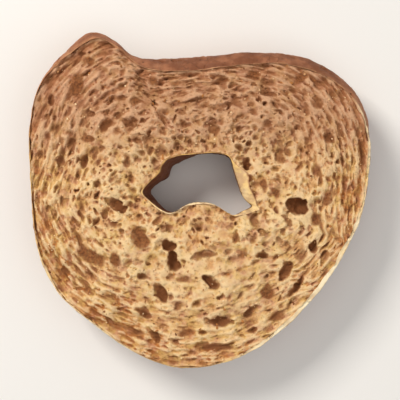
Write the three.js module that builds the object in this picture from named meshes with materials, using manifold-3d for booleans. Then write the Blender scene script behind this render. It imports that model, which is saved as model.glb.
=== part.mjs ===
// Crisp bread ring: one half of a twice-baked wholemeal ring, lying on its baked base with the torn,
// porous cut face up. Millimetres, +Z up, origin under the middle of the ring on the surface that it
// rests on. The two ends of the dough rope meet at the dent in the far side (+Y) of the rim.
import * as THREE from "three";
import { mergeVertices } from "three/addons/utils/BufferGeometryUtils.js";
import Module from "manifold-3d";

// Driving dimensions.
const THICKNESS = 23; // from the base to the cut edge of the crust
const CRUST = 1.2; // thickness of the browned skin, seen edge-on round the cut face
const CRUST_STEP = 0.6; // how far below the crust's cut edge the torn crumb starts
const CRUST_SLOPE = 0.4; // width of that little step
const CROWN = 1.2; // rise of the crumb in the middle of the rope
const EDGE_INSET = 0.7; // the cut edge stands this far inside the widest outline
const SHOULDER = 4.3; // how much farther in it stands on the far side, where the rim is rounder
const SHOULDER_TOWARDS = 1.4; // direction of the middle of that side, in radians from +X
const SHOULDER_SPREAD = 0.95; // how far it reaches to either side, in radians
const WIDEST_AT = 0.7; // share of the thickness at which the ring is widest
const OUTER_CORNER = 9; // how far the rounded outer wall draws in at the base
const HOLE_CORNER = 4.5; // the same for the wall of the hole
const CORNER_POWER = 2.4; // superellipse power of both rounded corners
const HOLE_LEAN = 5; // how far the hole's wall reaches into the hole at the base, on its left side
const HOLE_LEAN_TOWARDS = 2.8; // direction of that side, in radians from +X

// The widest outline of the ring and the outline of the hole at the cut face, anticlockwise, and a
// point in the hole from which every point of both can be seen.
const RIM = [
  [55.3, 19], [52.2, 32], [44, 41.5], [30, 47.4], [16, 48], [-5, 46.4], [-21, 46.8], [-27.5, 51.8],
  [-35, 54.6], [-44, 48], [-52, 37.5], [-55, 24], [-54.8, 7], [-52.8, -14], [-46.5, -29],
  [-34, -40.4], [-19.5, -50], [-8, -54.1], [4, -53.5], [18, -48], [34, -34.6], [44.5, -20.5],
  [52, -5],
];
const HOLE = [
  [16.4, -2], [14.5, -0.2], [12.7, 2.9], [10.6, 9.6], [9.4, 13.4], [7.2, 14.6], [-1, 14.6],
  [-10.9, 12.6], [-13.2, 8.3], [-15.8, 5.8], [-18.2, 2.6], [-16.2, 0.1], [-9.6, -3.9],
  [-3.2, -0.9], [0.8, -0.5], [4.3, -1.2], [10.6, -4.6], [14, -3.2],
];
const CENTRE = new THREE.Vector2(-1, 5);

// The largest pores of the cut face: centre x, y, length, width, turn in degrees, depth.
const LARGE_PORES = [
  [31.4, -2.6, 7, 5.6, -15, 4.5], [40.3, 0.7, 5.2, 4.2, 70, 1.8], [35.9, -14.6, 4.4, 3.2, 75, 2.8],
  [31.8, -17, 6, 2.9, 82, 1.6], [27.2, -22.6, 7.2, 3.1, 64, 2.6], [39.4, -18.9, 4.8, 2.2, 70, 1.8],
  [30.6, -28.4, 8.2, 2.4, 51, 2.2], [21.5, -29.1, 5, 4.4, 0, 1.8], [20.2, -17.2, 3.4, 2.6, 10, 2.2],
  [0.7, -17.7, 7.8, 2.2, 12, 1.8], [3.2, -25.6, 6.2, 2.8, -27, 2.8], [-9.8, -14.8, 5.6, 3.4, -12, 3],
  [-8.4, -19.4, 5.6, 3.4, -72, 3.4], [-19.2, -12.5, 9.4, 5.4, -67, 2.4],
  [-12.6, -29.1, 7.4, 3.8, -66, 2.8], [-18.8, -24.6, 3.4, 2.3, -30, 2],
  [-26.2, -18.6, 5.8, 4.4, -80, 2.4], [-34.8, -18, 10.2, 5.4, -32, 2.2],
  [-41.6, -16.8, 6.6, 2.8, 85, 1.5], [-26.6, -2, 7.6, 2.8, -33, 2.6], [6.6, -38.8, 9.2, 2.6, -4, 2.2],
  [24.6, -37.2, 6, 3.2, 25, 2], [17.4, -35.6, 6, 2.2, 36, 1.7], [4.6, -46.8, 11.8, 3.1, 4, 2.1],
  [-17.1, -36.2, 5.8, 2.8, -42, 2], [-14.8, -43, 4.8, 2.3, -45, 2], [15.4, 10.8, 3.6, 2.5, 75, 2.8],
  [-36.8, 12, 4.6, 3, 78, 2.2], [-44.7, 12.4, 4.2, 2.6, 82, 1.9], [-39.6, 37.2, 8.8, 4.8, 74, 2],
  [-36.2, 19.4, 5, 4.2, 20, 1.5], [31.8, 38.6, 4.6, 3.8, 40, 2],
];
// The smaller pores, which lie along the rope between them.
const SMALL_PORES = 52;
const SMALL_LENGTH = [2.7, 4.8];
const SLENDERNESS = [0.55, 0.95]; // width over length
const DEPTH_SHARE = 0.6; // depth over width
const TURN_SPREAD = 0.5; // greatest turn away from the rope's direction, in radians
const PORE_GAP = 0.5; // least crumb between two of them
const PORE_SEED = 2026;
const PORE_SIDES = 8;
const PORE_BANDS = 4;
const PORE_RAGGEDNESS = 0.14; // share by which a pore's radius varies

// The slow rise and fall of the torn crumb: waves of shrinking length and height, each turned on
// from the last and shifted by the square of its number.
const WAVES = 6;
const LONGEST_WAVE = 33;
const HIGHEST_WAVE = 0.42;
const WAVE_SHORTENING = 1.36;
const WAVE_LOWERING = 1.14;
const WAVE_TURN = 2.4;
const EDGE_SHARE = 0.5; // share of the rise and fall that the crust's cut edge follows

// How finely the solid is faceted.
const STEPS_ROUND = 96;
const FACE_STEPS = 9;
const SIDE_STEPS = 2;
const CORNER_STEPS = 4;
const CURVE_POINTS = 1440;

const wasm = await Module();
wasm.setup();

/** A table of the direction and distance, seen from the centre, of points on a closed outline. */
function reachTable(outline) {
  const corners = outline.map(([x, y]) => new THREE.Vector3(x - CENTRE.x, y - CENTRE.y, 0));
  return new THREE.CatmullRomCurve3(corners, true, "centripetal")
    .getPoints(CURVE_POINTS)
    .map((point) => ({ angle: Math.atan2(point.y, point.x), reach: Math.hypot(point.x, point.y) }))
    .sort((a, b) => a.angle - b.angle);
}

const rim = reachTable(RIM);
const hole = reachTable(HOLE);

/** The distance from the centre to a tabled outline in the direction of angle. */
function reachAt(table, angle) {
  const above = table.findIndex((entry) => entry.angle > angle);
  const next = table[Math.max(above, 0)];
  const last = table.at(above < 0 ? -1 : above - 1);
  const turn = (to) => (to - last.angle + 2 * Math.PI) % (2 * Math.PI);
  const share = turn(angle) / (turn(next.angle) || 1);
  return last.reach + (next.reach - last.reach) * share;
}

/** Random numbers from 0 to 1 that are the same each time. */
function randomNumbers(seed) {
  let state = seed;
  return () => {
    state = (Math.imul(state, 1664525) + 1013904223) >>> 0;
    return state / 2 ** 32;
  };
}

/** The rise and fall of the torn face at a point. */
function swell(x, y) {
  let height = 0;
  for (let k = 0; k < WAVES; k += 1) {
    const along = x * Math.cos(k * WAVE_TURN) + y * Math.sin(k * WAVE_TURN);
    const phase = (2 * Math.PI * along * WAVE_SHORTENING ** k) / LONGEST_WAVE;
    height += (HIGHEST_WAVE / WAVE_LOWERING ** k) * Math.sin(phase + k * k);
  }
  return height;
}

/** How far inside the widest outline the cut edge stands in a direction. */
function edgeInset(angle) {
  const away = angle - SHOULDER_TOWARDS;
  const turned = Math.atan2(Math.sin(away), Math.cos(away)) / SHOULDER_SPREAD;
  return EDGE_INSET + SHOULDER * Math.exp(-(turned ** 4));
}

/** How far the crumb begins from the centre in a direction, and how far it ends. */
function crumbSpan(angle) {
  const start = reachAt(hole, angle) + CRUST + CRUST_SLOPE;
  const end = reachAt(rim, angle) - edgeInset(angle) - CRUST - CRUST_SLOPE;
  return [start, end];
}

/** The height of the crumb at a point of the cut face, without its pores. */
function crumbHeight(x, y) {
  const angle = Math.atan2(y - CENTRE.y, x - CENTRE.x);
  const [start, end] = crumbSpan(angle);
  const share = (Math.hypot(x - CENTRE.x, y - CENTRE.y) - start) / (end - start);
  return THICKNESS - CRUST_STEP + CROWN * (1 - (2 * share - 1) ** 2) + swell(x, y);
}

/** The height of the crust's cut edge at a point. */
function edgeHeight(x, y) {
  return THICKNESS + EDGE_SHARE * swell(x, y);
}

/** A pore: centre, length, width, turn in radians and depth. */
function makePore(x, y, length, width, turn, depth) {
  return { x, y, length, width, turn, depth };
}

/** The large pores, then the small ones wherever a random place is free. */
function makePores(random) {
  const between = ([low, high]) => low + (high - low) * random();
  const pores = LARGE_PORES.map(([x, y, length, width, turn, depth]) =>
    makePore(x, y, length, width, THREE.MathUtils.degToRad(turn), depth));
  while (pores.length < LARGE_PORES.length + SMALL_PORES) {
    const angle = (2 * random() - 1) * Math.PI;
    const length = between(SMALL_LENGTH);
    const width = length * between(SLENDERNESS);
    const [start, end] = crumbSpan(angle);
    const nearest = start + length / 2;
    const farthest = end - length / 2;
    const reach = Math.sqrt(nearest ** 2 + (farthest ** 2 - nearest ** 2) * random());
    const x = CENTRE.x + reach * Math.cos(angle);
    const y = CENTRE.y + reach * Math.sin(angle);
    const turn = angle + Math.PI / 2 + TURN_SPREAD * (2 * random() - 1);
    const free = pores.every((other) =>
      Math.hypot(other.x - x, other.y - y) > (other.length + length) / 2 + PORE_GAP);
    if (free) pores.push(makePore(x, y, length, width, turn, width * DEPTH_SHARE));
  }
  return pores;
}

/** The ragged ellipsoid that a pore takes out of the crumb. */
function poreGeometry(pore, random) {
  const geometry = new THREE.SphereGeometry(1, PORE_SIDES, PORE_BANDS).rotateX(Math.PI / 2);
  geometry.deleteAttribute("normal");
  geometry.deleteAttribute("uv");
  const merged = mergeVertices(geometry);
  const position = merged.getAttribute("position");
  const point = new THREE.Vector3();
  for (let i = 0; i < position.count; i += 1) {
    point.fromBufferAttribute(position, i).multiplyScalar(1 + PORE_RAGGEDNESS * (2 * random() - 1));
    position.setXYZ(i, point.x, point.y, point.z);
  }
  return merged
    .scale(pore.length / 2, pore.width / 2, pore.depth)
    .rotateZ(pore.turn)
    .translate(pore.x, pore.y, crumbHeight(pore.x, pore.y));
}

/** How far the hole's wall leans into the hole at a height, in a direction. */
function leanAt(angle, z) {
  const facing = Math.max(0, Math.cos(angle - HOLE_LEAN_TOWARDS));
  return HOLE_LEAN * facing ** 2 * (1 - z / THICKNESS);
}

/** How far a rounded corner is set in, and how high it is, at a share of the way down it. */
function cornerAt(share, inset) {
  const turn = (share * Math.PI) / 2;
  const power = 2 / CORNER_POWER;
  return [
    inset * (1 - Math.max(0, Math.cos(turn)) ** power),
    THICKNESS * WIDEST_AT * (1 - Math.sin(turn) ** power),
  ];
}

/** The ring's closed section in one direction: the cut face outwards, down, and back up the hole. */
function sectionAt(angle) {
  const inner = reachAt(hole, angle);
  const outer = reachAt(rim, angle);
  const setIn = edgeInset(angle);
  const [start, end] = crumbSpan(angle);
  const section = [];
  const place = (reach, height) => {
    const x = CENTRE.x + reach * Math.cos(angle);
    const y = CENTRE.y + reach * Math.sin(angle);
    section.push(x, y, typeof height === "number" ? height : height(x, y));
  };
  const sideHeight = (share) => (x, y) =>
    THREE.MathUtils.lerp(THICKNESS * WIDEST_AT, edgeHeight(x, y), share);

  place(inner + CRUST, edgeHeight);
  for (let i = 0; i <= FACE_STEPS; i += 1) {
    place(THREE.MathUtils.lerp(start, end, i / FACE_STEPS), crumbHeight);
  }
  place(outer - setIn - CRUST, edgeHeight);
  for (let i = SIDE_STEPS; i > 0; i -= 1) {
    const share = i / SIDE_STEPS;
    place(outer - setIn * share ** 2, sideHeight(share));
  }
  for (let i = 0; i <= CORNER_STEPS; i += 1) {
    const [inset, z] = cornerAt(i / CORNER_STEPS, OUTER_CORNER);
    place(outer - inset, z);
  }
  for (let i = CORNER_STEPS; i >= 0; i -= 1) {
    const [inset, z] = cornerAt(i / CORNER_STEPS, HOLE_CORNER);
    place(inner - leanAt(angle, z) + inset, z);
  }
  for (let i = 1; i <= SIDE_STEPS; i += 1) {
    const share = i / SIDE_STEPS;
    const z = THICKNESS * THREE.MathUtils.lerp(WIDEST_AT, 1, share);
    place(inner - leanAt(angle, z), sideHeight(share));
  }
  return section;
}

/** The ring's closed surface without pores: its sections, joined all the way round. */
function ringGeometry() {
  const sections = Array.from({ length: STEPS_ROUND }, (_, i) =>
    sectionAt(((2 * i + 1) / STEPS_ROUND - 1) * Math.PI));
  const rows = sections[0].length / 3;
  const index = [];
  for (let i = 0; i < STEPS_ROUND; i += 1) {
    const here = i * rows;
    const there = ((i + 1) % STEPS_ROUND) * rows;
    for (let j = 0; j < rows; j += 1) {
      const next = (j + 1) % rows;
      index.push(here + j, here + next, there + next, here + j, there + next, there + j);
    }
  }
  const geometry = new THREE.BufferGeometry();
  geometry.setAttribute("position", new THREE.Float32BufferAttribute(sections.flat(), 3));
  geometry.setIndex(index);
  return geometry;
}

/** The solid inside a closed geometry. */
function toSolid(geometry) {
  return new wasm.Manifold(new wasm.Mesh({
    numProp: 3,
    vertProperties: geometry.getAttribute("position").array,
    triVerts: new Uint32Array(geometry.index.array),
  }));
}

/** The geometry of a solid. */
function toGeometry(solid) {
  const mesh = solid.getMesh();
  const geometry = new THREE.BufferGeometry();
  geometry.setAttribute("position", new THREE.BufferAttribute(mesh.vertProperties, 3));
  geometry.setIndex(new THREE.BufferAttribute(mesh.triVerts, 1));
  geometry.computeVertexNormals();
  return geometry;
}

const random = randomNumbers(PORE_SEED);
const bread = makePores(random).reduce(
  (solid, pore) => solid.subtract(toSolid(poreGeometry(pore, random))), toSolid(ringGeometry()));

const ring = new THREE.Mesh(
  toGeometry(bread),
  new THREE.MeshStandardMaterial({ color: 0xcfa06f, roughness: 0.9, metalness: 0 }),
);
ring.name = "bread_ring";

const part = new THREE.Group();
part.add(ring);

export default part;
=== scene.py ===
"""Crisp bread ring: the looks of one half of a twice-baked wholemeal ring, cut face up.

The ring is dressed as two close-fitting pieces, the baked crust with a trough for the crumb and the
torn crumb in it, strewn with bran flecks and loose toasted crumbs. Sizes in the classes are in
millimetres, as in the ring's solid; Blender's meshes are in metres.
"""
import logging
import math
from dataclasses import dataclass, replace
from enum import Enum

import bpy
import numpy as np
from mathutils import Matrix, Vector


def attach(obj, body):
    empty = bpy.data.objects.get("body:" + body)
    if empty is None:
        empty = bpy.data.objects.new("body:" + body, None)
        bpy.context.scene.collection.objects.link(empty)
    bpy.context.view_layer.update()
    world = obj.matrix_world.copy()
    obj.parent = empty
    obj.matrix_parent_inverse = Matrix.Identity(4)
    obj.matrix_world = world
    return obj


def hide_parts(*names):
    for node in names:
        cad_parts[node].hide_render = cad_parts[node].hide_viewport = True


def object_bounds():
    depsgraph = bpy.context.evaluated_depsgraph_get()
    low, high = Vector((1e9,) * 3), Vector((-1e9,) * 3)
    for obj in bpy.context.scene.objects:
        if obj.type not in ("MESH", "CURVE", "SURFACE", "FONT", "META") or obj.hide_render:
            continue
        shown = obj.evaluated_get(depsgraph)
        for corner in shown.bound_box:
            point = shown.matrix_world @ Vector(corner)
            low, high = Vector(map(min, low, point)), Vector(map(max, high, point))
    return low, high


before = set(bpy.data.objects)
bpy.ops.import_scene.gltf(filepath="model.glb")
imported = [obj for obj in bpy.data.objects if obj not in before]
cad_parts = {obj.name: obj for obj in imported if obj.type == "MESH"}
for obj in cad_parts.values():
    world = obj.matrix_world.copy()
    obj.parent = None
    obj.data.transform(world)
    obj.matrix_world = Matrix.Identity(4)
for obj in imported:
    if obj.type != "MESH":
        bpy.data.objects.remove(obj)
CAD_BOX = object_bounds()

MM = 0.001
TURN = 2 * math.pi
BODY = "root"
NODE = "bread_ring"

# Short names for the types in hints, and the kinds of socket that hold a value.
Array = np.ndarray
Socket = bpy.types.NodeSocket
Tree = bpy.types.NodeTree
Material = bpy.types.Material
Piece = bpy.types.Object
Colour = tuple[float, float, float, float]
Pair = tuple[float, float]
Table = tuple[tuple[float, ...], ...]
SOCKETS = {float: "Float", int: "Int", tuple: "Color"}

# A pore's profile is a bowl to a power, which grows by SOFTENING from steep to gentle.
STEEPEST = 0.4
SOFTENING = 0.9

log = logging.getLogger("bread_ring")


# --- Random numbers and noise ---

class PoreDice:
    """The ring's own random numbers, the same each time, so that its pores lie where they do."""

    def __init__(self, seed: int) -> None:
        """Starts the numbers at a seed."""
        self.state = seed

    def roll(self) -> float:
        """Returns the next number from 0 to 1."""
        self.state = (self.state * 1664525 + 1013904223) % 2 ** 32
        return self.state / 2 ** 32

    def between(self, low: float, high: float) -> float:
        """Returns the next number from low to high."""
        return low + (high - low) * self.roll()


def eased(share: Array) -> Array:
    """Bends a share from 0 to 1 so that it starts and ends gently."""
    return share * share * (3.0 - 2.0 * share)


def smooth_step(low: float, high: float, value: Array) -> Array:
    """Eases from 0 to 1 as value goes from low to high."""
    return eased(np.clip((value - low) / (high - low), 0.0, 1.0))


def spot(x: Array, y: Array, middle: Pair, spread: float) -> Array:
    """Returns 1 in the middle of a round spot, easing to 0 away from it."""
    return np.exp(-((x - middle[0]) ** 2 + (y - middle[1]) ** 2) / (2 * spread ** 2))


def sector(angle: Array, towards: float, spread: float) -> Array:
    """Returns 1 in one direction, easing to 0 away from it."""
    turned = np.angle(np.exp(1j * (angle - towards)))
    return np.exp(-(turned / spread) ** 4)


def directions(count: int) -> Array:
    """Returns evenly spread directions all the way round."""
    return (2 * np.arange(count) + 1) / count * math.pi - math.pi


def read_grid(grid: Array, column: Array, row: Array, gently: bool = False) -> Array:
    """Reads a repeating grid between its points.

    Args:
        grid: the numbers, as rows by columns.
        column: places along its rows.
        row: places along its columns.
        gently: whether to ease from point to point.

    Returns:
        The numbers at the places.
    """
    left, low = np.floor(column), np.floor(row)
    across, up = column - left, row - low
    if gently:
        across, up = eased(across), eased(up)
    i, j = left.astype(int), low.astype(int)

    def pick(di: int, dj: int) -> Array:
        """Returns the numbers next to each place."""
        return grid[(j + dj) % len(grid), (i + di) % grid.shape[1]]

    bottom = pick(0, 0) * (1.0 - across) + pick(1, 0) * across
    top = pick(0, 1) * (1.0 - across) + pick(1, 1) * across
    return bottom * (1.0 - up) + top * up


@dataclass(frozen=True)
class Bumps:
    """Smooth random bumps over a plane, about 1 high at most, which repeat after PERIOD lengths."""

    PERIOD = 256
    NEXT_SEED = 17
    length: float
    seed: int
    octaves: int = 1

    def at(self, x: Array, y: Array) -> Array:
        """Returns the heights of the bumps at places in millimetres."""
        total, strength = np.zeros(np.broadcast(x, y).shape), 0.0
        for octave in range(self.octaves):
            weight = 0.5 ** octave
            length = self.length * weight
            random = np.random.default_rng(self.seed + self.NEXT_SEED * octave)
            lattice = random.uniform(-1.0, 1.0, (self.PERIOD, self.PERIOD))
            total += weight * read_grid(lattice, x / length, y / length, gently=True)
            strength += weight
        return total / strength


# --- The ring's form, from the same named values as its solid ---

class Outline:
    """A closed smooth curve round a centre, read as a distance for each direction."""

    POINTS = 1440

    def __init__(self, corners: Table, centre: Pair) -> None:
        """Draws the curve.

        Args:
            corners: the points that it passes through, anticlockwise, in millimetres.
            centre: the point that directions are seen from.
        """
        points = np.array(corners, float) - centre
        count = len(points)
        places = np.arange(self.POINTS + 1) / self.POINTS * count
        whole = np.floor(places).astype(int)
        share = (places - whole)[:, None]
        before, start, end, after = (points[(whole + step) % count] for step in (-1, 0, 1, 2))
        gap0, gap1, gap2 = (
            np.sqrt(np.linalg.norm(b - a, axis=1))[:, None]
            for a, b in ((before, start), (start, end), (end, after)))
        leave = gap1 * ((start - before) / gap0 - (end - before) / (gap0 + gap1)
                        + (end - start) / gap1)
        arrive = gap1 * ((end - start) / gap1 - (after - start) / (gap1 + gap2)
                         + (after - end) / gap2)
        curve = (start + leave * share
                 + (-3 * start + 3 * end - 2 * leave - arrive) * share ** 2
                 + (2 * start - 2 * end + leave + arrive) * share ** 3)
        angles = np.arctan2(curve[:, 1], curve[:, 0])
        order = np.argsort(angles, kind="stable")
        self.angles = angles[order]
        self.reaches = np.hypot(curve[:, 0], curve[:, 1])[order]

    def reach(self, angle: Array) -> Array:
        """Returns the distance from the centre to the curve in each direction."""
        return np.interp(angle, self.angles, self.reaches, period=TURN)


@dataclass(frozen=True)
class Pore:
    """One pore of the cut face: centre, length, width, turn in radians and depth."""

    x: float
    y: float
    length: float
    width: float
    turn: float
    depth: float

    @classmethod
    def table(cls, rows: Table) -> list["Pore"]:
        """Returns the pores of a table with turns in degrees."""
        return [cls(*row[:4], math.radians(row[4]), row[5]) for row in rows]


@dataclass
class RingForm:
    """The ring's main form, its outlines, heights and walls, in millimetres."""

    thickness: float = 23.0
    crust: float = 1.2
    crust_step: float = 0.6
    crust_slope: float = 0.4
    crown: float = 1.2
    edge_inset: float = 0.7
    shoulder: float = 4.3
    shoulder_towards: float = 1.4
    shoulder_spread: float = 0.95
    widest_at: float = 0.7
    outer_corner: float = 9.0
    hole_corner: float = 4.5
    corner_power: float = 2.4
    hole_lean: float = 5.0
    hole_lean_towards: float = 2.8
    centre: Pair = (-1.0, 5.0)
    waves: int = 6
    longest_wave: float = 33.0
    highest_wave: float = 0.42
    wave_shortening: float = 1.36
    wave_lowering: float = 1.14
    wave_turn: float = 2.4
    edge_share: float = 0.5
    rim_corners: Table = (
        (55.3, 19), (52.2, 32), (44, 41.5), (30, 47.4), (16, 48), (-5, 46.4), (-21, 46.8),
        (-27.5, 51.8), (-35, 54.6), (-44, 48), (-52, 37.5), (-55, 24), (-54.8, 7), (-52.8, -14),
        (-46.5, -29), (-34, -40.4), (-19.5, -50), (-8, -54.1), (4, -53.5), (18, -48), (34, -34.6),
        (44.5, -20.5), (52, -5))
    hole_corners: Table = (
        (16.4, -2), (14.5, -0.2), (12.7, 2.9), (10.6, 9.6), (9.4, 13.4), (7.2, 14.6), (-1, 14.6),
        (-10.9, 12.6), (-13.2, 8.3), (-15.8, 5.8), (-18.2, 2.6), (-16.2, 0.1), (-9.6, -3.9),
        (-3.2, -0.9), (0.8, -0.5), (4.3, -1.2), (10.6, -4.6), (14, -3.2))

    def __post_init__(self) -> None:
        """Draws the two outlines."""
        self.rim = Outline(self.rim_corners, self.centre)
        self.hole = Outline(self.hole_corners, self.centre)

    def place(self, angle: Array, reach: Array) -> tuple[Array, Array]:
        """Returns x and y of the points at a distance from the centre in each direction."""
        return self.centre[0] + reach * np.cos(angle), self.centre[1] + reach * np.sin(angle)

    def swell(self, x: Array, y: Array) -> Array:
        """Returns the slow rise and fall of the cut face."""
        height = np.zeros(np.broadcast(x, y).shape)
        for k in range(self.waves):
            along = x * math.cos(k * self.wave_turn) + y * math.sin(k * self.wave_turn)
            phase = TURN * along * self.wave_shortening ** k / self.longest_wave
            height += self.highest_wave / self.wave_lowering ** k * np.sin(phase + k * k)
        return height

    def shoulder_at(self, angle: Array) -> Array:
        """Returns 1 where the rim is rounder, on the far side, and 0 away from there."""
        return sector(angle, self.shoulder_towards, self.shoulder_spread)

    def set_in(self, angle: Array) -> Array:
        """Returns how far inside the widest outline the cut edge stands in each direction."""
        return self.edge_inset + self.shoulder * self.shoulder_at(angle)

    def crumb_span(self, angle: Array) -> tuple[Array, Array]:
        """Returns how far from the centre the crumb begins and ends in each direction."""
        start = self.hole.reach(angle) + self.crust + self.crust_slope
        end = self.rim.reach(angle) - self.set_in(angle) - self.crust - self.crust_slope
        return start, end

    def crumb_height(self, x: Array, y: Array) -> Array:
        """Returns the height of the crumb without its pores."""
        across, up = x - self.centre[0], y - self.centre[1]
        start, end = self.crumb_span(np.arctan2(up, across))
        share = np.clip((np.hypot(across, up) - start) / (end - start), 0.0, 1.0)
        crown = self.crown * (1.0 - (2.0 * share - 1.0) ** 2)
        return self.thickness - self.crust_step + crown + self.swell(x, y)

    def edge_height(self, x: Array, y: Array) -> Array:
        """Returns the height of the crust's cut edge."""
        return self.thickness + self.edge_share * self.swell(x, y)

    def lean(self, angle: Array, z: Array) -> Array:
        """Returns how far the hole's wall leans into the hole at a height."""
        facing = np.maximum(0.0, np.cos(angle - self.hole_lean_towards))
        return self.hole_lean * facing ** 2 * (1.0 - z / self.thickness)

    def corner(self, share: Array, inset: float) -> tuple[Array, Array]:
        """Traces a rounded lower corner.

        Args:
            share: how far down the corner, from 0 to 1.
            inset: how far the corner draws in at the base.

        Returns:
            How far it is set in and how high it is at each share.
        """
        turn = share * math.pi / 2
        power = 2.0 / self.corner_power
        inward = inset * (1.0 - np.maximum(0.0, np.cos(turn)) ** power)
        height = self.thickness * self.widest_at * (1.0 - np.maximum(0.0, np.sin(turn)) ** power)
        return inward, height


@dataclass
class PoreRules:
    """Where the pores of the ring's solid lie, and the finer pits between them.

    A row of large or pits is a pore's x, y, length, width, turn in degrees and depth.
    """

    seed: int = 2026
    small_count: int = 52
    small_length: Pair = (2.7, 4.8)
    slenderness: Pair = (0.55, 0.95)
    depth_share: float = 0.6
    turn_spread: float = 0.5
    gap: float = 0.5
    large: Table = (
        (31.4, -2.6, 7, 5.6, -15, 4.5), (40.3, 0.7, 5.2, 4.2, 70, 1.8),
        (35.9, -14.6, 4.4, 3.2, 75, 2.8), (31.8, -17, 6, 2.9, 82, 1.6),
        (27.2, -22.6, 7.2, 3.1, 64, 2.6), (39.4, -18.9, 4.8, 2.2, 70, 1.8),
        (30.6, -28.4, 8.2, 2.4, 51, 2.2), (21.5, -29.1, 5, 4.4, 0, 1.8),
        (20.2, -17.2, 3.4, 2.6, 10, 2.2), (0.7, -17.7, 7.8, 2.2, 12, 1.8),
        (3.2, -25.6, 6.2, 2.8, -27, 2.8), (-9.8, -14.8, 5.6, 3.4, -12, 3),
        (-8.4, -19.4, 5.6, 3.4, -72, 3.4), (-19.2, -12.5, 9.4, 5.4, -67, 2.4),
        (-12.6, -29.1, 7.4, 3.8, -66, 2.8), (-18.8, -24.6, 3.4, 2.3, -30, 2),
        (-26.2, -18.6, 5.8, 4.4, -80, 2.4), (-34.8, -18, 10.2, 5.4, -32, 2.2),
        (-41.6, -16.8, 6.6, 2.8, 85, 1.5), (-26.6, -2, 7.6, 2.8, -33, 2.6),
        (6.6, -38.8, 9.2, 2.6, -4, 2.2), (24.6, -37.2, 6, 3.2, 25, 2),
        (17.4, -35.6, 6, 2.2, 36, 1.7), (4.6, -46.8, 11.8, 3.1, 4, 2.1),
        (-17.1, -36.2, 5.8, 2.8, -42, 2), (-14.8, -43, 4.8, 2.3, -45, 2),
        (15.4, 10.8, 3.6, 2.5, 75, 2.8), (-36.8, 12, 4.6, 3, 78, 2.2),
        (-44.7, 12.4, 4.2, 2.6, 82, 1.9), (-39.6, 37.2, 8.8, 4.8, 74, 2),
        (-36.2, 19.4, 5, 4.2, 20, 1.5), (31.8, 38.6, 4.6, 3.8, 40, 2))
    pits: Table = (
        (27.6, -6.6, 3.4, 2.2, -40, 1.6), (19.8, -10.4, 2.2, 2, 0, 1.6),
        (15.7, -11.8, 3.8, 1.9, 88, 1.2), (25.6, -10, 1.9, 1.7, 0, 1.4),
        (24.7, -13.2, 2.2, 1.8, 60, 1.2), (8.9, -16, 3.4, 3, 0, 0.9),
        (6.6, -30.6, 2.2, 1.8, 80, 1.5), (16.8, -41.6, 2.8, 2.3, 0, 1.8),
        (0.7, -42.6, 2.5, 2.2, 0, 1.6), (-7.2, -44.4, 2.1, 1.5, -40, 1.4),
        (6.6, -7.2, 4, 1.5, -12, 0.9), (-13.3, -6.9, 2.6, 2.2, 0, 1.4),
        (-22.4, -41.2, 3, 2.7, 0, 1), (-31.5, -13.3, 3.4, 1.6, -38, 1.4),
        (-30.6, -4.2, 2.5, 2, 70, 1.6), (-33.5, -6.6, 2.9, 2, 75, 1.6),
        (-38.2, -6, 4.2, 1.9, -56, 1.5), (-33, 4.8, 2.5, 2.4, 0, 1.7),
        (-46.4, 3.6, 2.5, 1.8, 80, 1.8), (-48.8, -2.5, 2.5, 1.6, 85, 1.5),
        (-47.8, 31.8, 3.1, 2.5, 75, 1.9), (-51.4, 14.6, 2.9, 2.2, 85, 1.6),
        (-34.7, 27.4, 2.2, 1.7, 0, 1.5), (-23.3, 24.2, 2.9, 2, -20, 1.6),
        (-46, 26.3, 2, 1.5, 30, 1.3), (-25, 36.5, 3.1, 2.4, 60, 1.3), (-11.9, 37.6, 2.4, 2, 0, 1.4),
        (-38, 46.6, 2.5, 2.3, 0, 1.3), (-22.7, 11.9, 2.8, 2.4, 70, 1.6),
        (12.9, 16.6, 3.1, 2.2, -30, 1.8), (23.9, 14, 2.8, 1.5, 80, 1.5),
        (16.6, 31, 2.5, 2.2, 0, 1.4), (10.7, 36.5, 2.1, 1.7, 0, 1.3))

    def main_pores(self, form: RingForm) -> list[Pore]:
        """Repeats the pores of the ring's solid.

        Args:
            form: the ring's form.

        Returns:
            The listed pores, then the smaller ones wherever a random place is free.
        """
        dice = PoreDice(self.seed)
        pores = Pore.table(self.large)
        while len(pores) < len(self.large) + self.small_count:
            angle = (2.0 * dice.roll() - 1.0) * math.pi
            length = dice.between(*self.small_length)
            width = length * dice.between(*self.slenderness)
            start, end = form.crumb_span(np.array(angle))
            nearest, farthest = float(start) + length / 2, float(end) - length / 2
            reach = math.sqrt(nearest ** 2 + (farthest ** 2 - nearest ** 2) * dice.roll())
            x, y = form.place(angle, reach)
            turn = angle + math.pi / 2 + self.turn_spread * (2.0 * dice.roll() - 1.0)
            if all(math.hypot(other.x - x, other.y - y) > (other.length + length) / 2 + self.gap
                   for other in pores):
                pores.append(Pore(float(x), float(y), length, width, turn, width * self.depth_share))
        return pores


@dataclass(frozen=True)
class PoreClass:
    """A class of random pores: sizes in millimetres, depths as shares of their width.

    Towards the rim, where the dough was pressed, they are longer by stretched of their length,
    slimmer by slimmed of their width, and out of line by the first of strays less the second.
    """

    tries: int
    lengths: Pair
    depths: Pair
    softness: Pair
    margin: float
    seed: int
    slimness: Pair = (0.4, 0.95)
    stretched: float = 0.7
    slimmed: float = 0.35
    strays: Pair = (0.75, 0.45)
    tilt: float = 0.8


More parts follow.
